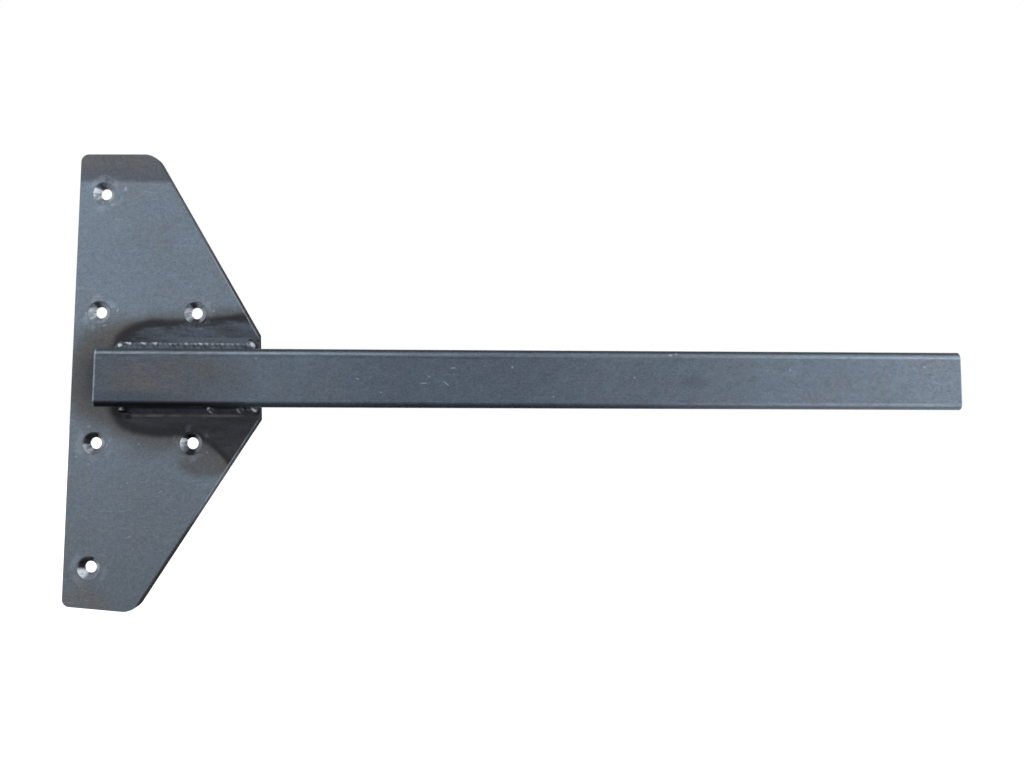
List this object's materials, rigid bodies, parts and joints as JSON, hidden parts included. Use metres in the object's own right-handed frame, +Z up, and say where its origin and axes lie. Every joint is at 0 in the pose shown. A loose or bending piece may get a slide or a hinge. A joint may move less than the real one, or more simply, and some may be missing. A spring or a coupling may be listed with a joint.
{
  "type": "floating desk bracket",
  "caption": "Welded steel floating desk bracket: a tapered wall plate with countersunk screw holes, and a long square tube arm welded flat across its front.",
  "frame": {"origin": "on the plate's back face, in the middle of the four inner screw holes and on the arm's centreline", "axes": "+X along the arm away from the wall, +Y out of the plate's back face into the stud, +Z up"},
  "size_m": [0.5967, 0.0444, 0.3108],
  "materials": {
    "plate_steel": "bare mill steel plate, satin blue-grey with brown and blue heat tint round the welds",
    "tube_steel": "bare drawn tube, satin blue-grey with fine lengthwise marks and lighter corners",
    "weld_metal": "rippled weld metal as laid, dark with bright crests"
  },
  "bodies": {
    "root": {"mounting_plate": "plate_steel", "arm_tube": "tube_steel", "upper_weld": "weld_metal", "lower_weld": "weld_metal", "end_weld": "weld_metal"}
  },
  "joints": []
}
